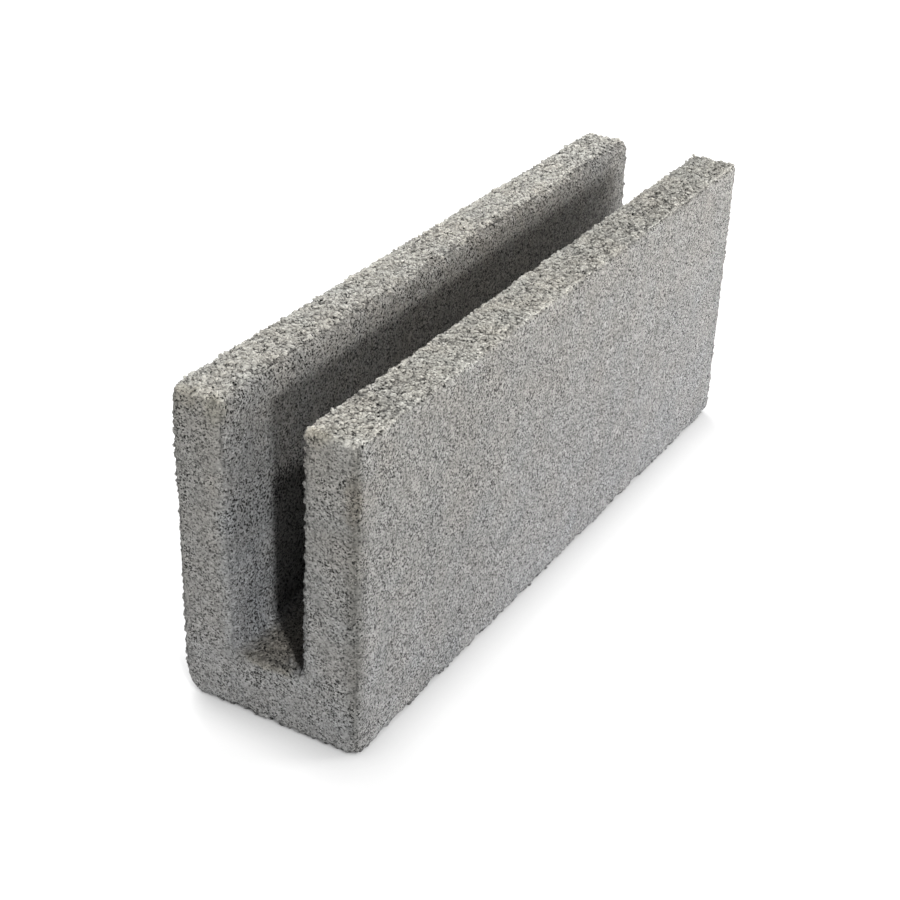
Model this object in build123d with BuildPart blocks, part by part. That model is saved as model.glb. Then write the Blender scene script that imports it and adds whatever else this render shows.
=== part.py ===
"""U-shaped concrete lintel block, one cast piece with a channel open at the top and at both ends."""
from build123d import *
from math import atan2, degrees, sqrt
import os

# The masonry grid that the block is laid on, and the mortar joint that comes off its length.
module_length = 500.0
mortar_joint = 10.0
length = module_length - mortar_joint
width = 120.0
height = 200.0

# The channel: its two side walls (shells) and its floor (web).
shell_top_thickness = 34.0
shell_foot_thickness = 37.5
floor_thickness = 42.5
channel_foot_radius = 5.0

# Rounding that the mould and handling leave on the edges.
arris_radius = 2.5
channel_lip_radius = 2.0

# Corners knocked off in handling: how far the break reaches in from the sharp corner.
near_corner_break = 6.5
far_corner_break = 5.5

# Sizes that follow from those above.
half_length = length / 2
half_width = width / 2
channel_half_top = half_width - shell_top_thickness
channel_half_foot = half_width - shell_foot_thickness
channel_depth = height - floor_thickness

# Mould draft of each channel wall.
draft_angle = degrees(atan2(channel_half_top - channel_half_foot, channel_depth))
print("channel depth", channel_depth, "draft", round(draft_angle, 2))

with BuildPart() as block:
    # Cross-section: the rectangle of the block less the tapered channel.
    with BuildSketch(Plane.XZ) as section:
        with BuildLine() as outline:
            Polyline(
                (-half_width, 0),
                (half_width, 0),
                (half_width, height),
                (channel_half_top, height),
                (channel_half_foot, floor_thickness),
                (-channel_half_foot, floor_thickness),
                (-channel_half_top, height),
                (-half_width, height),
                close=True,
            )
        make_face()
        foot_corners = section.vertices().filter_by_position(
            Axis.Y, floor_thickness - 1, floor_thickness + 1
        )
        fillet(foot_corners, radius=channel_foot_radius)
    extrude(amount=half_length, both=True)

    # Outer arrises: every edge that lies on the block's bounding box, apart from the channel's.
    outer_edges = block.edges().filter_by(
        lambda edge: abs(abs(edge.center().X) - half_width) < 0.01
        or abs(edge.center().Z) < 0.01
    )
    fillet(outer_edges, radius=arris_radius)

    # Lip of the channel: its top edges and its outline on both ends, with the tops' short ends.
    lip_edges = block.edges().filter_by(
        lambda edge: abs(edge.center().X) < half_width - arris_radius - 0.01
        and (
            abs(edge.center().Z - height) < 0.01
            or (abs(abs(edge.center().Y) - half_length) < 0.01 and edge.center().Z > arris_radius + 1)
        )
    )
    fillet(lip_edges, radius=channel_lip_radius)

    # Knocked corners at the foot: left at the near end, right at the far end.
    corner_diagonal = 1 / sqrt(3)
    near_cut = Plane(
        origin=(
            -half_width + near_corner_break * corner_diagonal,
            -half_length + near_corner_break * corner_diagonal,
            near_corner_break * corner_diagonal,
        ),
        z_dir=(-1, -1, -1),
    )
    split(bisect_by=near_cut, keep=Keep.BOTTOM)
    far_cut = Plane(
        origin=(
            half_width - far_corner_break * corner_diagonal,
            half_length - far_corner_break * corner_diagonal,
            far_corner_break * corner_diagonal,
        ),
        z_dir=(1, 1, -1),
    )
    split(bisect_by=far_cut, keep=Keep.BOTTOM)

block.part.label = "block"
os.makedirs("parts", exist_ok=True)
export_step(block.part, "parts/block.step")
print("volume in litres", round(block.part.volume / 1e6, 3))
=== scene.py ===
import math
import bmesh
import bpy
from mathutils import Euler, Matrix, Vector


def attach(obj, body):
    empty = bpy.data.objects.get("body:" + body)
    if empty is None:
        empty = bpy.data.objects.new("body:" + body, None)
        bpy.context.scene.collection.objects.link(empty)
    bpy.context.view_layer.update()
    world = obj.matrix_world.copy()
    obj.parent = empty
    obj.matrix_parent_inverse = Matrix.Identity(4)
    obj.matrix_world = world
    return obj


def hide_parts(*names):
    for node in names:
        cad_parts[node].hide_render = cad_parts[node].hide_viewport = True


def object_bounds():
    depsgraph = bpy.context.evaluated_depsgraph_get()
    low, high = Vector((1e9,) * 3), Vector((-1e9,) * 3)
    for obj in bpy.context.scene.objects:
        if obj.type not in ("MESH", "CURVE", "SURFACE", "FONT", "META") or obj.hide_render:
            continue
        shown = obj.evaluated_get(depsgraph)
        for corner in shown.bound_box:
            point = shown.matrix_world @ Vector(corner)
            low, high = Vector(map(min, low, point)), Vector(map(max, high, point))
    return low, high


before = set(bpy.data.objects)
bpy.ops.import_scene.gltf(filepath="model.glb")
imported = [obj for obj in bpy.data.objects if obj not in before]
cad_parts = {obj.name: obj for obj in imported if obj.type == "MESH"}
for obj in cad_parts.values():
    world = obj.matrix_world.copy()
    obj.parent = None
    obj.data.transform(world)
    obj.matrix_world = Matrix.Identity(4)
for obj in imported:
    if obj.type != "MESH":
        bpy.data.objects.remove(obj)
cadLow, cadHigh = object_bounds()
scene = bpy.context.scene
mm = 0.001


def linearColour(hexText):
    # sRGB hex to the linear values that the sockets take
    values = [int(hexText[i:i + 2], 16) / 255 for i in (1, 3, 5)]
    linear = [v / 12.92 if v <= 0.04045 else ((v + 0.055) / 1.055) ** 2.4 for v in values]
    return (linear[0], linear[1], linear[2], 1.0)


def addNode(tree, kind, inputs=None, **settings):
    # one node: its settings, then each input, which is a fixed value or what another node gives
    node = tree.nodes.new(kind)
    for name, value in settings.items():
        setattr(node, name, value)
    for key, value in (inputs or {}).items():
        if isinstance(value, bpy.types.NodeSocket):
            tree.links.new(value, node.inputs[key])
        else:
            node.inputs[key].default_value = value
    return node.outputs


def span(pair):
    # the two inputs between which a range node works
    return {1: pair[0], 2: pair[1]}


def newObject(name, data):
    thing = bpy.data.objects.new(name, data)
    scene.collection.objects.link(thing)
    return thing


def plainMesh(thing, name):
    # the shape with its modifiers, as a plain mesh
    bpy.context.view_layer.update()
    mesh = bpy.data.meshes.new_from_object(thing.evaluated_get(bpy.context.evaluated_depsgraph_get()))
    mesh.name = name
    return mesh


def addTree(thing, tree, values):
    # a Geometry Nodes modifier, its named inputs set by their socket identifiers
    modifier = thing.modifiers.new(tree.name, "NODES")
    modifier.node_group = tree
    for item in tree.interface.items_tree:
        if item.in_out == "INPUT" and item.name in values:
            modifier[item.identifier] = values[item.name]


# The block as the mould makes it, for the distances that tell faces, edges and tops apart.
mould = {
    "halfWidth": cadHigh.x,
    "halfLength": cadHigh.y,
    "height": cadHigh.z,
    "channelHalfTop": 26.0 * mm,
    "channelHalfFoot": 22.5 * mm,
    "channelFloor": 42.5 * mm,
    "outOfReach": 0.1,            # a distance that no wear reaches
    "farCornerGap": 4.0 * mm,     # the corners of the far end wear as if they lay this much deeper
}


def mouldDistances(tree, position):
    # how deep a point lies under each face of the mould, and how far it is from the nearest edge
    outOfReach = mould["outOfReach"]
    taper = (mould["channelHalfTop"] - mould["channelHalfFoot"]) / (mould["height"] - mould["channelFloor"])
    x, y, z = addNode(tree, "ShaderNodeSeparateXYZ", {0: position})
    absX = addNode(tree, "ShaderNodeMath", {0: x}, operation="ABSOLUTE")[0]
    absY = addNode(tree, "ShaderNodeMath", {0: y}, operation="ABSOLUTE")[0]
    side = addNode(tree, "ShaderNodeMath", {0: mould["halfWidth"], 1: absX}, operation="SUBTRACT")[0]
    end = addNode(tree, "ShaderNodeMath", {0: mould["halfLength"], 1: absY}, operation="SUBTRACT")[0]
    top = addNode(tree, "ShaderNodeMath", {0: mould["height"], 1: z}, operation="SUBTRACT")[0]
    channelEdge = addNode(tree, "ShaderNodeMath", {
        0: z, 1: -taper, 2: taper * mould["channelFloor"] - mould["channelHalfFoot"]},
        operation="MULTIPLY_ADD")[0]
    wall = addNode(tree, "ShaderNodeMath", {0: absX, 1: channelEdge}, operation="ADD")[0]
    bed = addNode(tree, "ShaderNodeMath", {0: mould["channelFloor"], 1: z}, operation="SUBTRACT")[0]
    channel = addNode(tree, "ShaderNodeMath", {0: wall, 1: bed}, operation="MAXIMUM")[0]
    # the two smallest of the five distances: the second of them is the distance from an edge
    nearest, edge = side, outOfReach
    for other in (end, z, top, channel):
        larger = addNode(tree, "ShaderNodeMath", {0: nearest, 1: other}, operation="MAXIMUM")[0]
        edge = addNode(tree, "ShaderNodeMath", {0: edge, 1: larger}, operation="MINIMUM")[0]
        nearest = addNode(tree, "ShaderNodeMath", {0: nearest, 1: other}, operation="MINIMUM")[0]
    # the corners, out of reach at the left foot and further off at the far end
    leftHalf = addNode(tree, "ShaderNodeMath", {0: x, 1: 0.0}, operation="LESS_THAN")[0]
    farHalf = addNode(tree, "ShaderNodeMath", {0: y, 1: 0.0}, operation="GREATER_THAN")[0]
    upright = addNode(tree, "ShaderNodeMath", {0: leftHalf, 1: outOfReach, 2: z}, operation="MULTIPLY_ADD")[0]
    upright = addNode(tree, "ShaderNodeMath", {0: upright, 1: top}, operation="MINIMUM")[0]
    corner = addNode(tree, "ShaderNodeMath", {0: side, 1: end}, operation="MAXIMUM")[0]
    corner = addNode(tree, "ShaderNodeMath", {0: corner, 1: upright}, operation="MAXIMUM")[0]
    corner = addNode(tree, "ShaderNodeMath", {0: farHalf, 1: mould["farCornerGap"], 2: corner},
                     operation="MULTIPLY_ADD")[0]
    # the lip of the left shell, at the top of the channel
    lip = addNode(tree, "ShaderNodeMath", {0: wall, 1: top}, operation="MAXIMUM")[0]
    rightHalf = addNode(tree, "ShaderNodeMath", {0: x, 1: 0.0}, operation="GREATER_THAN")[0]
    leftLip = addNode(tree, "ShaderNodeMath", {0: rightHalf, 1: outOfReach, 2: lip},
                      operation="MULTIPLY_ADD")[0]
    return {"end": end, "foot": z, "top": top, "wall": wall, "channel": channel,
            "edge": edge, "corner": corner, "leftLip": leftLip}


# The casting: an even grid over the moulded shape, worn and opened inwards, never outwards.
# A name with a capital is an input of the node tree. A patch is the size of one swell of a noise.
# Something comes in over a range, from its first value to its second, and dies away over a fade.
casting = {
    "weldDistance": 1e-6,
    "gridSize": 1.0 * mm,
    "triangles": 195000,
    "borderPatch": 9.0 * mm,
    "borderShift": 2.5 * mm,      # half of Top Border, so that the border swings both ways
    "topFade": (1.8 * mm, 4.2 * mm),
    "wallFade": (-2.5 * mm, 1.0 * mm),
    "floorFade": (1.5 * mm, 5.0 * mm),
    "floorOpening": 0.8,          # how open the floor of the channel is, as a share of the tops
    "grainBend": 1.8 * mm,        # how far the outlines of the coarse grains are bent
    "bendPatch": 2.4 * mm,
    "creviceRange": (0.22, 0.72),  # measured from the middle of a grain, in grain sizes
    "fallenRange": (0.78, 0.86),  # about one coarse grain in five has fallen out
    "fallenDepth": 0.8,
    "chipPatch": 9.0 * mm,
    "chipRange": (0.50, 0.62),
    "chipEdgeFade": (0.5 * mm, 6.0 * mm),
    "chipFootFade": (3.0 * mm, 12.0 * mm),
    "chipAboveFoot": 0.35,        # how deep chips are away from the foot, as a share of those at the foot
    "wavePatch": 40.0 * mm,
    "unevenPatch": 7.0 * mm,
    "unevenRange": (0.35, 0.68),
    "Grain Size": 3.2 * mm,       # coarse grains that the open tops and the edges show
    "Top Border": 5.0 * mm,       # how unevenly the open grain reaches over the edges
    "Top Sink": 0.4 * mm,         # room for the grains that stand on the tops
    "Top Relief": 1.1 * mm,
    "Top Unevenness": 0.7 * mm,
    "Corner Wear": 2.4 * mm,
    "Corner Reach": 9.0 * mm,
    "Lip Wear": 2.2 * mm,
    "Lip Reach": 8.0 * mm,
    "Edge Reach": 4.5 * mm,
    "Edge Relief": 1.5 * mm,
    "Chip Depth": 2.4 * mm,
    "Face Waviness": 0.35 * mm,
}
# What a loose grain stores as its own tone, from the darkest to the palest. The casting stores none.
grainTones = (0.1, 1.0)


def wornCasting():
    tree = bpy.data.node_groups.new("wornCasting", "GeometryNodeTree")
    tree.interface.new_socket("Geometry", in_out="INPUT", socket_type="NodeSocketGeometry")
    for name in casting:
        if name[0].isupper():
            tree.interface.new_socket(name, in_out="INPUT", socket_type="NodeSocketFloat")
    tree.interface.new_socket("Geometry", in_out="OUTPUT", socket_type="NodeSocketGeometry")
    given = addNode(tree, "NodeGroupInput")
    position = addNode(tree, "GeometryNodeInputPosition")[0]
    normal = addNode(tree, "GeometryNodeInputNormal")[0]
    depths = mouldDistances(tree, position)

    # where the grain is open: the tops, the floor of the channel, and thinly along every edge
    border = addNode(tree, "ShaderNodeTexNoise",
                     {"Vector": position, "Scale": 1 / casting["borderPatch"], "Detail": 2.0})[0]
    border = addNode(tree, "ShaderNodeMath", {0: border, 1: given["Top Border"], 2: -casting["borderShift"]},
                     operation="MULTIPLY_ADD")[0]
    border = addNode(tree, "ShaderNodeMath", {0: border, 1: depths["top"]}, operation="ADD")[0]
    openTop = addNode(tree, "ShaderNodeMapRange", {0: border, **span(casting["topFade"]), 3: 1.0, 4: 0.0},
                      interpolation_type="SMOOTHSTEP")[0]
    underWalls = addNode(tree, "ShaderNodeMapRange",
                         {0: depths["wall"], **span(casting["wallFade"]), 3: 1.0, 4: 0.0},
                         interpolation_type="SMOOTHSTEP")[0]
    aboveFloor = addNode(tree, "ShaderNodeMath", {0: depths["foot"], 1: mould["channelFloor"]},
                         operation="SUBTRACT")[0]
    aboveFloor = addNode(tree, "ShaderNodeMath", {0: aboveFloor}, operation="ABSOLUTE")[0]
    onFloor = addNode(tree, "ShaderNodeMapRange",
                      {0: aboveFloor, **span(casting["floorFade"]), 3: casting["floorOpening"], 4: 0.0},
                      interpolation_type="SMOOTHSTEP")[0]
    openFloor = addNode(tree, "ShaderNodeMath", {0: underWalls, 1: onFloor}, operation="MULTIPLY")[0]
    openEdge = addNode(tree, "ShaderNodeMapRange",
                       {0: depths["edge"], 1: 0.0, 2: given["Edge Reach"], 3: 1.0, 4: 0.0},
                       interpolation_type="SMOOTHSTEP")[0]

    # coarse grains as domes with crevices between them, some of them fallen out
    bend = addNode(tree, "ShaderNodeTexNoise",
                   {"Vector": position, "Scale": 1 / casting["bendPatch"], "Detail": 1.0})[1]
    bent = addNode(tree, "ShaderNodeVectorMath", {0: bend, 1: (casting["grainBend"],) * 3, 2: position},
                   operation="MULTIPLY_ADD")[0]
    perGrain = addNode(tree, "ShaderNodeMath", {0: 1.0, 1: given["Grain Size"]}, operation="DIVIDE")[0]
    grain = addNode(tree, "ShaderNodeTexVoronoi", {"Vector": bent, "Scale": perGrain}, feature="F1")
    crevice = addNode(tree, "ShaderNodeMapRange", {0: grain["Distance"], **span(casting["creviceRange"])},
                      interpolation_type="SMOOTHSTEP")[0]
    chance = addNode(tree, "ShaderNodeSeparateXYZ", {0: grain["Color"]})
    fallen = addNode(tree, "ShaderNodeMapRange",
                     {0: chance[0], **span(casting["fallenRange"]), 4: casting["fallenDepth"]})[0]
    hollow = addNode(tree, "ShaderNodeMath", {0: crevice, 1: fallen}, operation="ADD")[0]

    # chips broken off the edges, largest round the foot
    chip = addNode(tree, "ShaderNodeTexNoise",
                   {"Vector": position, "Scale": 1 / casting["chipPatch"], "Detail": 2.0})[0]
    chip = addNode(tree, "ShaderNodeMapRange", {0: chip, **span(casting["chipRange"])},
                   interpolation_type="SMOOTHSTEP")[0]
    nearEdge = addNode(tree, "ShaderNodeMapRange",
                       {0: depths["edge"], **span(casting["chipEdgeFade"]), 3: 1.0, 4: 0.0},
                       interpolation_type="SMOOTHSTEP")[0]
    nearFoot = addNode(tree, "ShaderNodeMapRange",
                       {0: depths["foot"], **span(casting["chipFootFade"]), 3: 1.0,
                        4: casting["chipAboveFoot"]},
                       interpolation_type="SMOOTHSTEP")[0]
    chip = addNode(tree, "ShaderNodeMath", {0: chip, 1: nearEdge}, operation="MULTIPLY")[0]
    chip = addNode(tree, "ShaderNodeMath", {0: chip, 1: nearFoot}, operation="MULTIPLY")[0]

    # everything together, as a depth below the mould
    wave = addNode(tree, "ShaderNodeTexNoise",
                   {"Vector": position, "Scale": 1 / casting["wavePatch"], "Detail": 3.0})[0]
    depth = addNode(tree, "ShaderNodeMath", {0: wave, 1: given["Face Waviness"]}, operation="MULTIPLY")[0]
    depth = addNode(tree, "ShaderNodeMath", {0: chip, 1: given["Chip Depth"], 2: depth},
                    operation="MULTIPLY_ADD")[0]
    for rubbed, name in (("corner", "Corner"), ("leftLip", "Lip")):
        rounding = addNode(tree, "ShaderNodeMapRange",
                           {0: depths[rubbed], 1: 0.0, 2: given[name + " Reach"], 3: 1.0, 4: 0.0},
                           interpolation_type="SMOOTHSTEP")[0]
        depth = addNode(tree, "ShaderNodeMath", {0: rounding, 1: given[name + " Wear"], 2: depth},
                        operation="MULTIPLY_ADD")[0]
    uneven = addNode(tree, "ShaderNodeTexNoise",
                     {"Vector": position, "Scale": 1 / casting["unevenPatch"], "Detail": 1.0})[0]
    uneven = addNode(tree, "ShaderNodeMapRange", {0: uneven, **span(casting["unevenRange"])})[0]
    uneven = addNode(tree, "ShaderNodeMath", {0: uneven, 1: given["Top Unevenness"], 2: given["Top Sink"]},
                     operation="MULTIPLY_ADD")[0]
    depth = addNode(tree, "ShaderNodeMath", {0: openTop, 1: uneven, 2: depth}, operation="MULTIPLY_ADD")[0]
    level = addNode(tree, "ShaderNodeMath", {0: openTop, 1: openFloor}, operation="MAXIMUM")[0]
    level = addNode(tree, "ShaderNodeMath", {0: level, 1: given["Top Relief"]}, operation="MULTIPLY")[0]
    rim = addNode(tree, "ShaderNodeMath", {0: openEdge, 1: given["Edge Relief"]}, operation="MULTIPLY")[0]
    level = addNode(tree, "ShaderNodeMath", {0: level, 1: rim}, operation="MAXIMUM")[0]
    depth = addNode(tree, "ShaderNodeMath", {0: hollow, 1: level, 2: depth}, operation="MULTIPLY_ADD")[0]
    depth = addNode(tree, "ShaderNodeMath", {0: depth, 1: -1.0}, operation="MULTIPLY")[0]
    inward = addNode(tree, "ShaderNodeVectorMath", {0: normal, 3: depth}, operation="SCALE")[0]
    shape = addNode(tree, "GeometryNodeSetPosition", {"Geometry": given["Geometry"], "Offset": inward})[0]

    # what the grain layers and the concrete read
    opened = addNode(tree, "ShaderNodeMath", {0: openEdge, 1: openTop}, operation="MAXIMUM")[0]
    # the open hollows, which the concrete darkens as painted shade
    shaded = addNode(tree, "ShaderNodeMath", {0: hollow, 1: opened}, operation="MULTIPLY")[0]
    stored = {"openTop": openTop, "openEdge": openEdge, "openFloor": openFloor, "hollow": shaded}
    for name, value in stored.items():
        shape = addNode(tree, "GeometryNodeStoreNamedAttribute",
                        {"Geometry": shape, "Name": name, "Value": value},
                        data_type="FLOAT", domain="POINT")[0]
    addNode(tree, "NodeGroupOutput", {0: shape})
    return tree


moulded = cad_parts["block"].data.copy()
joined = bmesh.new()
joined.from_mesh(moulded)
bmesh.ops.remove_doubles(joined, verts=joined.verts, dist=casting["weldDistance"])
joined.to_mesh(moulded)
joined.free()
moulded.materials.clear()
rawCasting = newObject("rawCasting", moulded)
grid = rawCasting.modifiers.new("evenGrid", "REMESH")
grid.mode, grid.voxel_size, grid.use_smooth_shade = "VOXEL", casting["gridSize"], True
addTree(rawCasting, wornCasting(), casting)
fineMesh = plainMesh(rawCasting, "fineCasting")
bpy.data.objects.remove(rawCasting)
print("casting worn:", len(fineMesh.polygons), "faces before thinning")


def pressedConcrete(name, look):
    # Dense block concrete, pressed nearly dry: a dull grey skin of cement over crushed sand, full of small
    # open pores, so that it looks speckled and has no sheen.
    material = bpy.data.materials.new(name)
    material.use_nodes = True
    tree = material.node_tree
    tree.nodes.clear()
    place = addNode(tree, "ShaderNodeTexCoord")["Object"]
    depths = mouldDistances(tree, place)

    # sand of about 1 mm, grit of 2 mm and stones of 4 mm, each grain with its own tone
    bend = addNode(tree, "ShaderNodeTexNoise",
                   {"Vector": place, "Scale": 1 / look["bendPatch"], "Detail": 1.0})[1]
    bent = addNode(tree, "ShaderNodeVectorMath", {0: bend, 1: (look["sandBend"],) * 3, 2: place},
                   operation="MULTIPLY_ADD")[0]
    sand = addNode(tree, "ShaderNodeTexVoronoi", {"Vector": bent, "Scale": 1 / look["sandSize"]},
                   feature="F1")
    grit = addNode(tree, "ShaderNodeTexVoronoi", {"Vector": bent, "Scale": 1 / look["gritSize"]},
                   feature="F1")
    stones = addNode(tree, "ShaderNodeTexVoronoi", {"Vector": bent, "Scale": 1 / look["stoneSize"]},
                     feature="F1")
    sandTone = addNode(tree, "ShaderNodeSeparateXYZ", {0: sand["Color"]})[0]
    sandTone = addNode(tree, "ShaderNodeMath", {0: sandTone, 1: look["sandPower"]}, operation="POWER")[0]
    gritTone = addNode(tree, "ShaderNodeSeparateXYZ", {0: grit["Color"]})[1]
    stoneTone = addNode(tree, "ShaderNodeSeparateXYZ", {0: stones["Color"]})[2]
    patchTone = addNode(tree, "ShaderNodeTexNoise",
                        {"Vector": place, "Scale": 1 / look["patchSize"], "Detail": 4.0})[0]
    tone = 1.0
    for value, middle, spread in ((sandTone, look["sandMiddle"], look["sand"]), (gritTone, 0.5, look["grit"]),
                                  (stoneTone, 0.5, look["stones"]), (patchTone, 0.5, look["patches"])):
        part = addNode(tree, "ShaderNodeMath", {0: value, 1: spread, 2: 1.0 - spread * middle},
                       operation="MULTIPLY_ADD")[0]
        part = addNode(tree, "ShaderNodeMath", {0: part, 1: look["leastFactor"]}, operation="MAXIMUM")[0]
        tone = addNode(tree, "ShaderNodeMath", {0: part, 1: tone}, operation="MULTIPLY")[0]

    # pores up to 1.5 mm across, in patches of about 1.6 mm, three in ten of them with none; their darkness is
    # painted shade in the pits
    pores = addNode(tree, "ShaderNodeTexVoronoi", {"Vector": bent, "Scale": 1 / look["poreSpacing"]},
                    feature="F1")
    poreChance = addNode(tree, "ShaderNodeSeparateXYZ", {0: pores["Color"]})[0]
    poreSize = addNode(tree, "ShaderNodeMath",
                       {0: poreChance, 1: look["poreSize"], 2: -look["poreSize"] * look["poreless"]},
                       operation="MULTIPLY_ADD")[0]
    pore = addNode(tree, "ShaderNodeMath", {0: poreSize, 1: pores["Distance"]}, operation="SUBTRACT")[0]
    pore = addNode(tree, "ShaderNodeMapRange", {0: pore, **span(look["poreRange"])},
                   interpolation_type="SMOOTHSTEP")[0]
    poreShade = addNode(tree, "ShaderNodeMath", {0: pore, 1: -look["pores"], 2: 1.0},
                       operation="MULTIPLY_ADD")[0]
    tone = addNode(tree, "ShaderNodeMath", {0: poreShade, 1: tone}, operation="MULTIPLY")[0]

    # a pale chip of limestone about 1 mm across in one of five patches of grit
    chipChance = addNode(tree, "ShaderNodeSeparateXYZ", {0: grit["Color"]})[0]
    chosen = addNode(tree, "ShaderNodeMath", {0: chipChance, 1: 1 - look["chipShare"]},
                     operation="GREATER_THAN")[0]
    pale = addNode(tree, "ShaderNodeMapRange",
                   {0: grit["Distance"], **span(look["chipFade"]), 3: look["paleChips"], 4: 0.0})[0]
    pale = addNode(tree, "ShaderNodeMath", {0: pale, 1: chosen}, operation="MULTIPLY")[0]
    tone = addNode(tree, "ShaderNodeMath", {0: tone, 1: pale}, operation="ADD")[0]

    # the skin of cement is thicker in places, so the speckle comes and goes, and the ends are calmer
    onEnd = addNode(tree, "ShaderNodeMapRange", {0: depths["end"], **span(look["endFade"]), 3: 1.0, 4: 0.0},
                    interpolation_type="SMOOTHSTEP")[0]
    inChannel = addNode(tree, "ShaderNodeMapRange",
                        {0: depths["channel"], **span(look["channelFade"]), 3: 1.0, 4: 0.0},
                        interpolation_type="SMOOTHSTEP")[0]
    skin = addNode(tree, "ShaderNodeTexNoise",
                   {"Vector": place, "Scale": 1 / look["skinPatch"], "Detail": 2.0})[0]
    skin = addNode(tree, "ShaderNodeMapRange",
                   {0: skin, **span(look["skinRange"]), 3: look["thickSkin"], 4: look["thinSkin"]})[0]
    skin = addNode(tree, "ShaderNodeMath", {0: onEnd, 1: look["endSpeckle"], 2: skin},
                   operation="MULTIPLY_ADD")[0]
    skin = addNode(tree, "ShaderNodeMath", {0: inChannel, 1: look["channelSpeckle"], 2: skin},
                   operation="MULTIPLY_ADD")[0]
    speckle = addNode(tree, "ShaderNodeMath", {0: tone, 1: 1.0}, operation="SUBTRACT")[0]
    tone = addNode(tree, "ShaderNodeMath", {0: speckle, 1: skin, 2: 1.0}, operation="MULTIPLY_ADD")[0]
    tone = addNode(tree, "ShaderNodeMath", {0: tone, 1: look["leastTone"]}, operation="MAXIMUM")[0]

    # loose grains have tones of their own; the hollows and the bed between them are darkened as painted shade
    grainTone = addNode(tree, "ShaderNodeAttribute", attribute_name="grainTone")["Fac"]
    isGrain = addNode(tree, "ShaderNodeMath", {0: grainTone, 1: grainTones[0] / 2},
                      operation="GREATER_THAN")[0]
    ownTone = addNode(tree, "ShaderNodeMapRange",
                      {0: grainTone, **span(grainTones), 3: look["grainDark"], 4: look["grainLight"]})[0]
    hollow = addNode(tree, "ShaderNodeAttribute", attribute_name="hollow")["Fac"]
    hollowShade = addNode(tree, "ShaderNodeMapRange",
                         {0: hollow, **span(look["hollowRange"]), 3: 1.0, 4: look["hollowShade"]})[0]
    bed = addNode(tree, "ShaderNodeAttribute", attribute_name="openTop")["Fac"]
    inside = addNode(tree, "ShaderNodeMapRange", {0: depths["edge"], **span(look["insideRange"])})[0]
    bed = addNode(tree, "ShaderNodeMath", {0: bed, 1: inside}, operation="MULTIPLY")[0]
    bedShade = addNode(tree, "ShaderNodeMapRange",
                      {0: bed, **span(look["bedRange"]), 3: 1.0, 4: look["bedShade"]})[0]
    hollowShade = addNode(tree, "ShaderNodeMath", {0: hollowShade, 1: bedShade}, operation="MULTIPLY")[0]
    looseTone = addNode(tree, "ShaderNodeMix", {0: isGrain, 2: hollowShade, 3: ownTone}, data_type="FLOAT")[0]
    bare = addNode(tree, "ShaderNodeMath", {0: isGrain, 1: look["grainBare"]}, operation="MULTIPLY")[0]
    tone = addNode(tree, "ShaderNodeMix", {0: bare, 2: tone, 3: 1.0}, data_type="FLOAT")[0]
    tone = addNode(tree, "ShaderNodeMath", {0: looseTone, 1: tone}, operation="MULTIPLY")[0]

    # painted contact shadow along the foot, in spots, just above the ground
    spots = addNode(tree, "ShaderNodeTexNoise",
                    {"Vector": place, "Scale": 1 / look["spotPatch"], "Detail": 2.0})[0]
    footing = addNode(tree, "ShaderNodeMath", {0: spots, 1: -look["spotHeight"], 2: depths["foot"]},
                      operation="MULTIPLY_ADD")[0]
    footShade = addNode(tree, "ShaderNodeMapRange",
                       {0: footing, **span(look["footFade"]), 3: look["foot"], 4: 1.0})[0]
    tone = addNode(tree, "ShaderNodeMath", {0: footShade, 1: tone}, operation="MULTIPLY")[0]

    # cement grey on the pressed faces, duller in the channel, warmer and lighter where the grain is open
    ragged = addNode(tree, "ShaderNodeMath", {0: patchTone, 1: look["topRagged"], 2: depths["top"]},
                     operation="MULTIPLY_ADD")[0]
    onTop = addNode(tree, "ShaderNodeMapRange", {0: ragged, **span(look["topFade"]), 3: 1.0, 4: 0.0},
                    interpolation_type="SMOOTHSTEP")[0]
    underTop = addNode(tree, "ShaderNodeMapRange",
                       {0: ragged, **span(look["underTopFade"]), 3: look["underTop"], 4: 1.0},
                       interpolation_type="SMOOTHSTEP")[0]
    tone = addNode(tree, "ShaderNodeMath", {0: underTop, 1: tone}, operation="MULTIPLY")[0]
    colour = addNode(tree, "ShaderNodeMix",
                     {0: onEnd, 6: linearColour(look["face"]), 7: linearColour(look["end"])},
                     data_type="RGBA")[2]
    colour = addNode(tree, "ShaderNodeMix", {0: inChannel, 6: colour, 7: linearColour(look["channel"])},
                     data_type="RGBA")[2]
    colour = addNode(tree, "ShaderNodeMix", {0: onTop, 6: colour, 7: linearColour(look["open"])},
                     data_type="RGBA")[2]
    colour = addNode(tree, "ShaderNodeVectorMath", {0: colour, 3: tone}, operation="SCALE")[0]
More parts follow.
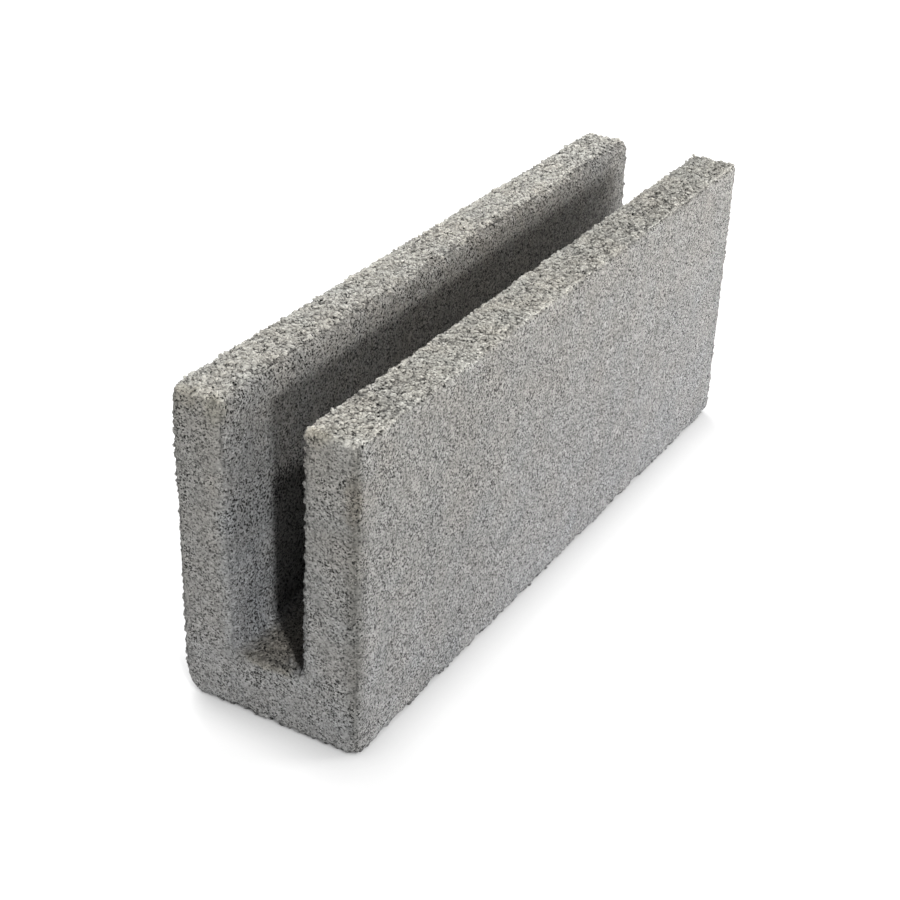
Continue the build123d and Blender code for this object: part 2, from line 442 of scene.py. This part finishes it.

    # a little warmer towards the top, as painted warm light from above and cool light from below, and a few
    # marks that fade out unevenly: stains, darker patches, and painted light and shade
    rise = addNode(tree, "ShaderNodeMath", {0: depths["foot"], 1: mould["height"]}, operation="DIVIDE")[0]
    tint = addNode(tree, "ShaderNodeMix",
                   {0: rise, 6: linearColour(look["footLightTint"]), 7: linearColour(look["topLightTint"])},
                   data_type="RGBA")[2]
    colour = addNode(tree, "ShaderNodeVectorMath", {0: colour, 1: tint}, operation="MULTIPLY")[0]
    cast = addNode(tree, "ShaderNodeTexNoise",
                   {"Vector": place, "Scale": 1 / look["castPatch"], "Detail": 2.0})[0]
    cast = addNode(tree, "ShaderNodeMix",
                   {0: cast, 6: linearColour(look["warmCast"]), 7: linearColour(look["coolCast"])},
                   data_type="RGBA")[2]
    colour = addNode(tree, "ShaderNodeVectorMath", {0: colour, 1: cast}, operation="MULTIPLY")[0]
    colour = addNode(tree, "ShaderNodeVectorMath", {0: colour, 3: look["castLift"]}, operation="SCALE")[0]
    blur = addNode(tree, "ShaderNodeTexNoise",
                   {"Vector": place, "Scale": 1 / look["markPatch"], "Detail": 3.0})[0]
    for mark in look["marks"].values():
        away = addNode(tree, "ShaderNodeVectorMath", {0: place, 1: tuple(v * mm for v in mark["place"])},
                       operation="SUBTRACT")[0]
        away = addNode(tree, "ShaderNodeVectorMath", {0: away, 1: tuple(v * mm for v in mark["reach"])},
                       operation="DIVIDE")[0]
        away = addNode(tree, "ShaderNodeVectorMath", {0: away}, operation="LENGTH")["Value"]
        away = addNode(tree, "ShaderNodeMath", {0: blur, 1: look["markRagged"], 2: away},
                       operation="MULTIPLY_ADD")[0]
        marked = addNode(tree, "ShaderNodeMapRange", {0: away, **span(look["markFade"]), 3: 1.0, 4: 0.0},
                         interpolation_type="SMOOTHSTEP")[0]
        markTint = addNode(tree, "ShaderNodeMix", {0: marked, 6: (1, 1, 1, 1), 7: linearColour(mark["tint"])},
                        data_type="RGBA")[2]
        colour = addNode(tree, "ShaderNodeVectorMath", {0: colour, 1: markTint}, operation="MULTIPLY")[0]

    # relief too fine for the mesh: pores sunk in, sand and grit standing a little proud
    height = addNode(tree, "ShaderNodeMath", {0: sand["Distance"], 1: -look["sandRelief"]},
                     operation="MULTIPLY")[0]
    height = addNode(tree, "ShaderNodeMath", {0: grit["Distance"], 1: -look["gritRelief"], 2: height},
                     operation="MULTIPLY_ADD")[0]
    height = addNode(tree, "ShaderNodeMath", {0: pore, 1: -look["poreRelief"], 2: height},
                     operation="MULTIPLY_ADD")[0]
    bump = addNode(tree, "ShaderNodeBump",
                   {"Strength": look["bump"], "Distance": look["reliefDepth"], "Height": height})[0]
    shader = addNode(tree, "ShaderNodeBsdfPrincipled", {
        "Base Color": colour, "Normal": bump, "Roughness": 0.93, "IOR": 1.5, "Specular IOR Level": 0.25})[0]
    addNode(tree, "ShaderNodeOutputMaterial", {0: shader})
    return material


concrete = pressedConcrete("pressedConcrete", {
    # the greys of the pressed faces, the ends, the channel and the open grain
    "face": "#777777", "end": "#7f7f7e", "channel": "#767676", "open": "#bbbbb9",
    "endFade": (1.5 * mm, 4.5 * mm), "channelFade": (0.8 * mm, 3.0 * mm), "topFade": (2.8 * mm, 6.0 * mm),
    "topRagged": 4.0 * mm, "underTop": 1.10, "underTopFade": (5.0 * mm, 13.0 * mm),
    # faint tints, the height tints painted as warm light from above and cool light from below, and a lift
    # that keeps the concrete as light as it is without its casts
    "footLightTint": "#fefeff", "topLightTint": "#fffcf6", "warmCast": "#fffbf6", "coolCast": "#f8fcff",
    "castPatch": 26.0 * mm, "castLift": 1.03,
    # sand, grit, stones and larger patches: the size of each, and how far apart its tones are
    "sandSize": 0.9 * mm, "gritSize": 2.1 * mm, "stoneSize": 4.2 * mm, "patchSize": 45.0 * mm,
    "sand": 2.35, "grit": 0.20, "stones": 0.05, "patches": 0.10,
    "sandBend": 0.55 * mm, "bendPatch": 1.5 * mm,
    "sandPower": 0.42, "sandMiddle": 0.70,  # most of the sand is light, and a little of it is dark
    "leastFactor": 0.1, "leastTone": 0.05,  # no darker than this: one kind of grain, and all of them together
    # pores, with the share of patches that have none and how dark their painted shade is, and pale chips,
    # with the share of grit that has one
    "poreSpacing": 1.6 * mm, "poreSize": 0.68, "poreless": 0.3, "poreRange": (-0.04, 0.06), "pores": 0.88,
    "paleChips": 0.7, "chipShare": 0.2, "chipFade": (0.18, 0.28),
    # how strong the speckle is where the skin of cement is thick and where it is thin
    "skinPatch": 15.0 * mm, "skinRange": (0.36, 0.62), "thickSkin": 0.84, "thinSkin": 1.24,
    "endSpeckle": -0.24, "channelSpeckle": 0.06,
    # loose grains, and the painted shade of the bed and the hollows between them
    "grainDark": 0.92, "grainLight": 1.10, "grainBare": 0.6,
    "hollowShade": 0.70, "hollowRange": (0.1, 1.2),
    "bedShade": 0.6, "bedRange": (0.4, 0.9), "insideRange": (1.5 * mm, 4.0 * mm),
    # the painted contact shadow along the foot
    "foot": 0.32, "footFade": (-3.2 * mm, -1.4 * mm), "spotPatch": 6.0 * mm, "spotHeight": 8.0 * mm,
    # bump
    "bump": 0.8, "reliefDepth": 1.0 * mm, "sandRelief": 0.30, "gritRelief": 0.40, "poreRelief": 0.7,
    # marks in mm: the near right arris is darker, the tops have faint yellow and brown stains at the near
    # end, and parts of the tops are a shade darker;
    # the rest is painted: bluish light at the mouth of the channel, and shade deep in it, on its floor and on
    # the near part of the right side
    "markPatch": 6.0 * mm, "markRagged": 0.8, "markFade": (0.8, 1.5),
    "marks": {
        "arris": {"place": (60, -245, 96), "reach": (11, 11, 130), "tint": "#dedddb"},
        "arrisBrown": {"place": (57, -245, 166), "reach": (7, 7, 22), "tint": "#f7f4f0"},
        "yellowLeft": {"place": (-27, -245, 194), "reach": (13, 9, 12), "tint": "#fefdf6"},
        "yellowCorner": {"place": (-50, -245, 195), "reach": (12, 9, 9), "tint": "#f8f6f1"},
        # painted warm shade on the floor of the channel
        "channelFloor": {"place": (0, 0, 41), "reach": (24, 900, 6), "tint": "#e4dfd5"},
        # painted bluish light on the lit part of the left wall at the mouth of the channel
        "channelMouthLight": {"place": (-24, -228, 105), "reach": (10, 42, 100), "tint": "#f8fbff"},
        # painted warm shade deep in the channel
        "channelDeepShade": {"place": (-20, 40, 120), "reach": (18, 260, 140), "tint": "#e5e2dd"},
        # painted shade on the near part of the right side
        "nearSideShade": {"place": (60, -245, 80), "reach": (6, 230, 230), "tint": "#f5f5f4"},
        "rightTop": {"place": (43, 100, 200), "reach": (30, 600, 8), "tint": "#eeeeed"},
        "leftTop": {"place": (-43, -245, 200), "reach": (30, 330, 8), "tint": "#f4f4f4"},
        "rightTopFar": {"place": (43, 245, 200), "reach": (30, 330, 8), "tint": "#f4f4f4"},
        "yellowRight": {"place": (34, -245, 197), "reach": (10, 9, 8), "tint": "#f9f7f1"},
    },
})
print("concrete mixed")

# the casting itself, thinned where it is flat
castBlock = newObject("castBlock", fineMesh.copy())
thin = castBlock.modifiers.new("thinFlatParts", "DECIMATE")
thin.ratio = casting["triangles"] / (2 * len(fineMesh.polygons))
thinMesh = plainMesh(castBlock, "castBlock")
castBlock.modifiers.clear()
castBlock.data = thinMesh
for vertex in thinMesh.vertices:
    vertex.co = [min(max(vertex.co[i], cadLow[i]), cadHigh[i]) for i in range(3)]
thinMesh.materials.clear()
thinMesh.materials.append(concrete)
thinMesh.shade_smooth()
print("casting thinned:", sum(len(p.vertices) - 2 for p in thinMesh.polygons), "triangles")

# Grains of crushed stone that stand clear of the cement where the surface is open.
topGrains = {"Mask": "openTop", "Spacing": 1.95 * mm, "Smallest": 1.1 * mm, "Largest": 2.0 * mm,
             "Flatness": 0.5, "Tilt": 0.4, "Sink": 0.1 * mm, "Break": 1.5 * mm}
topGrit = {"Mask": "openTop", "Spacing": 1.5 * mm, "Smallest": 0.6 * mm, "Largest": 1.1 * mm,
           "Flatness": 0.7, "Tilt": 0.8, "Sink": 0.3 * mm, "Break": 0.8 * mm}
grainLayers = {
    "topGrainsLeft": {**topGrains, "Side": -1.0, "Seed": 11},
    "topGrainsRight": {**topGrains, "Side": 1.0, "Seed": 12},
    "topGritLeft": {**topGrit, "Side": -1.0, "Seed": 15},
    "topGritRight": {**topGrit, "Side": 1.0, "Seed": 16},
    "edgeGrains": {"Mask": "openEdge", "Spacing": 2.0 * mm, "Smallest": 0.9 * mm, "Largest": 1.6 * mm,
                   "Flatness": 0.85, "Tilt": 3.1, "Sink": 0.5 * mm, "Break": 0.5 * mm,
                   "Side": 0.0, "Seed": 13},
    "floorGrains": {"Mask": "openFloor", "Spacing": 2.3 * mm, "Smallest": 0.9 * mm, "Largest": 2.2 * mm,
                    "Flatness": 0.6, "Tilt": 0.5, "Sink": 0.3 * mm, "Break": 1.4 * mm,
                    "Side": 0.0, "Seed": 14},
}
# What the grains of every layer share.
grainShape = {
    "perSquareMetre": 2e6,
    "leastMask": 0.02,
    "pastMiddle": 1e-6,           # above 0, so that both shells have grains where Side is 0
    "smallness": 1.7,             # above 1, small grains are more common than large ones
    "leastStretch": (0.70, 0.70, 0.8),
    "mostStretch": (1.20, 1.20, 1.2),
    "turn": (1.0, 1.0, 3.14),     # either way: a tilt in units of Tilt, and any turn about the upright
    "breakPatch": 1.7 * mm,
}


def grainLayer(material):
    tree = bpy.data.node_groups.new("grainLayer", "GeometryNodeTree")
    tree.interface.new_socket("Geometry", in_out="INPUT", socket_type="NodeSocketGeometry")
    tree.interface.new_socket("Mask", in_out="INPUT", socket_type="NodeSocketString")
    for name in ("Side", "Spacing", "Smallest", "Largest", "Flatness", "Tilt", "Sink", "Break"):
        tree.interface.new_socket(name, in_out="INPUT", socket_type="NodeSocketFloat")
    tree.interface.new_socket("Seed", in_out="INPUT", socket_type="NodeSocketInt")
    tree.interface.new_socket("Geometry", in_out="OUTPUT", socket_type="NodeSocketGeometry")
    given = addNode(tree, "NodeGroupInput")
    position = addNode(tree, "GeometryNodeInputPosition")[0]

    # grains only where the mask is, on one shell, or on both where Side is 0
    mask = addNode(tree, "GeometryNodeInputNamedAttribute", {"Name": given["Mask"]}, data_type="FLOAT")[0]
    x = addNode(tree, "ShaderNodeSeparateXYZ", {0: position})[0]
    onSide = addNode(tree, "ShaderNodeMath", {0: x, 1: given["Side"], 2: grainShape["pastMiddle"]},
                     operation="MULTIPLY_ADD")[0]
    onSide = addNode(tree, "ShaderNodeMath", {0: onSide, 1: 0.0}, operation="GREATER_THAN")[0]
    factor = addNode(tree, "ShaderNodeMath", {0: mask, 1: onSide}, operation="MULTIPLY")[0]
    chosen = addNode(tree, "ShaderNodeMath", {0: factor, 1: grainShape["leastMask"]},
                     operation="GREATER_THAN")[0]
    spots = addNode(tree, "GeometryNodeDistributePointsOnFaces", {
        "Mesh": given["Geometry"], "Selection": chosen, "Distance Min": given["Spacing"],
        "Density Max": grainShape["perSquareMetre"], "Density Factor": factor, "Seed": given["Seed"]},
        distribute_method="POISSON")
    down = addNode(tree, "ShaderNodeMath", {0: given["Sink"], 1: -1.0}, operation="MULTIPLY")[0]
    down = addNode(tree, "ShaderNodeVectorMath", {0: spots["Normal"], 3: down}, operation="SCALE")[0]
    sunk = addNode(tree, "GeometryNodeSetPosition", {"Geometry": spots["Points"], "Offset": down})[0]

    # a lump of 20 faces, more small ones than large, pressed flat by the mould's head
    lump = addNode(tree, "GeometryNodeMeshIcoSphere", {"Radius": 1.0, "Subdivisions": 1})[0]
    chance = addNode(tree, "FunctionNodeRandomValue", {2: 0.0, 3: 1.0, "Seed": given["Seed"]},
                     data_type="FLOAT")[1]
    chance = addNode(tree, "ShaderNodeMath", {0: chance, 1: grainShape["smallness"]}, operation="POWER")[0]
    radius = addNode(tree, "ShaderNodeMapRange", {0: chance, 3: given["Smallest"], 4: given["Largest"]})[0]
    stretch = addNode(tree, "FunctionNodeRandomValue",
                      {0: grainShape["leastStretch"], 1: grainShape["mostStretch"], "Seed": given["Seed"]},
                      data_type="FLOAT_VECTOR")[0]
    flat = addNode(tree, "ShaderNodeCombineXYZ", {0: 1.0, 1: 1.0, 2: given["Flatness"]})[0]
    size = addNode(tree, "ShaderNodeVectorMath", {0: stretch, 1: flat}, operation="MULTIPLY")[0]
    size = addNode(tree, "ShaderNodeVectorMath", {0: size, 3: radius}, operation="SCALE")[0]
    lean = addNode(tree, "FunctionNodeRandomValue",
                   {0: tuple(-v for v in grainShape["turn"]), 1: grainShape["turn"], "Seed": given["Seed"]},
                   data_type="FLOAT_VECTOR")[0]
    tilt = addNode(tree, "ShaderNodeCombineXYZ", {0: given["Tilt"], 1: given["Tilt"], 2: 1.0})[0]
    lean = addNode(tree, "ShaderNodeVectorMath", {0: lean, 1: tilt}, operation="MULTIPLY")[0]
    lumps = addNode(tree, "GeometryNodeInstanceOnPoints",
                    {"Points": sunk, "Instance": lump, "Rotation": lean, "Scale": size})[0]
    tone = addNode(tree, "FunctionNodeRandomValue",
                   {2: grainTones[0], 3: grainTones[1], "Seed": given["Seed"]}, data_type="FLOAT")[1]
    lumps = addNode(tree, "GeometryNodeStoreNamedAttribute",
                    {"Geometry": lumps, "Name": "grainTone", "Value": tone},
                    data_type="FLOAT", domain="INSTANCE")[0]
    lumps = addNode(tree, "GeometryNodeRealizeInstances", {0: lumps})[0]

    # each lump broken to its own shape, and none past the mould
    breaks = addNode(tree, "ShaderNodeTexNoise",
                     {"Vector": position, "Scale": 1 / grainShape["breakPatch"], "Detail": 1.0})[1]
    breaks = addNode(tree, "ShaderNodeVectorMath", {0: breaks, 1: (0.5, 0.5, 0.5)}, operation="SUBTRACT")[0]
    breaks = addNode(tree, "ShaderNodeVectorMath", {0: breaks, 3: given["Break"]}, operation="SCALE")[0]
    broken = addNode(tree, "GeometryNodeSetPosition", {"Geometry": lumps, "Offset": breaks})[0]
    held = addNode(tree, "ShaderNodeVectorMath", {0: position, 1: tuple(cadLow)}, operation="MAXIMUM")[0]
    held = addNode(tree, "ShaderNodeVectorMath", {0: held, 1: tuple(cadHigh)}, operation="MINIMUM")[0]
    pressed = addNode(tree, "GeometryNodeSetPosition", {"Geometry": broken, "Position": held})[0]
    done = addNode(tree, "GeometryNodeSetMaterial", {"Geometry": pressed, "Material": material})[0]
    addNode(tree, "NodeGroupOutput", {0: done})
    return tree


scatter = grainLayer(concrete)
made = [castBlock]
for name, layer in grainLayers.items():
    grains = newObject(name, fineMesh)
    addTree(grains, scatter, layer)
    grainMesh = plainMesh(grains, name)
    grains.modifiers.clear()
    grains.data = grainMesh
    made.append(grains)
    print(name, len(grainMesh.polygons), "triangles")

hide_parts("block")
for piece in made:
    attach(piece, "root")

# Stage: an opal light table as the floor, soft lights round the block, and the photo's camera.
lightTable = {"reach": 8.0, "colour": "#bcbcbc", "glow": 0.572, "shade": 30 * mm, "gap": 0.2 * mm}
reach, gap = lightTable["reach"], lightTable["gap"]
tableMesh = bpy.data.meshes.new("lightTable")
tableCorners = [(x * reach, y * reach, -gap) for x, y in ((-1, -1), (1, -1), (1, 1), (-1, 1))]
tableMesh.from_pydata(tableCorners, [], [(0, 1, 2, 3)])
table = newObject("lightTable", tableMesh)
# matt white sheet lit from below, so that shadows on it stay pale; its glow is dimmed near the block by
# ambient occlusion, a painted contact shadow
opal = bpy.data.materials.new("opalAcrylic")
opal.use_nodes = True
opal.node_tree.nodes.clear()
sheet = addNode(opal.node_tree, "ShaderNodeBsdfDiffuse", {"Color": linearColour(lightTable["colour"])})[0]
clear = addNode(opal.node_tree, "ShaderNodeAmbientOcclusion", {"Distance": lightTable["shade"]},
                samples=8)["AO"]
clear = addNode(opal.node_tree, "ShaderNodeMath", {0: clear, 1: lightTable["glow"]}, operation="MULTIPLY")[0]
glow = addNode(opal.node_tree, "ShaderNodeEmission", {"Strength": clear})[0]
sheet = addNode(opal.node_tree, "ShaderNodeAddShader", {0: sheet, 1: glow})[0]
addNode(opal.node_tree, "ShaderNodeOutputMaterial", {0: sheet})
tableMesh.materials.append(opal)

lightsAim = Vector((0.0, 0.0, 0.1))  # the middle of the block
lights = {
    "backLeftSoft": {"place": (-2.049, 2.049, 0.876), "size": 1.6, "power": 172},
    "leftSoft": {"place": (-2.0, 0.5, 0.6), "size": 1.2, "power": 39},
    "frontRightLow": {"place": (2.153, -1.939, 0.876), "size": 0.25, "power": 45},
    "frontRightHigh": {"place": (1.576, -1.419, 2.221), "size": 0.25, "power": 39},
    "overhead": {"place": (0.0, -0.052, 3.1), "size": 1.6, "power": 10},
    "rightNear": {"place": (1.0, 0.6, 0.35), "size": 0.6, "power": 13.6},
}
for name, light in lights.items():
    source = bpy.data.lights.new(name, "AREA")
    source.shape, source.size, source.energy = "DISK", light["size"], light["power"]
    lamp = newObject(name, source)
    lamp.location = light["place"]
    lamp.rotation_euler = (lamp.location - lightsAim).to_track_quat("Z", "Y").to_euler()

world = bpy.data.worlds.new("paleRoom")
scene.world = world
world.use_nodes = True
world.node_tree.nodes.clear()
pale = addNode(world.node_tree, "ShaderNodeBackground", {"Color": (1, 1, 1, 1), "Strength": 1.0})[0]
addNode(world.node_tree, "ShaderNodeOutputWorld", {0: pale})
world.cycles_visibility.diffuse = False
world.cycles_visibility.glossy = False
scene.view_settings.view_transform = "Standard"

view = {
    "place": (0.45653, -0.84625, 0.61241),
    "turn": (60.1168, -1.7118, 30.7855),
    "lens": 67.2,
    "sensor": 36.0,
    "near": 0.01,
    "far": 50.0,
}
camera = newObject("camera", bpy.data.cameras.new("camera"))
camera.location = view["place"]
camera.rotation_euler = Euler([math.radians(angle) for angle in view["turn"]])
camera.data.lens, camera.data.sensor_width = view["lens"], view["sensor"]
camera.data.clip_start, camera.data.clip_end = view["near"], view["far"]
scene.camera = camera
print("stage set: light table, lights and camera")
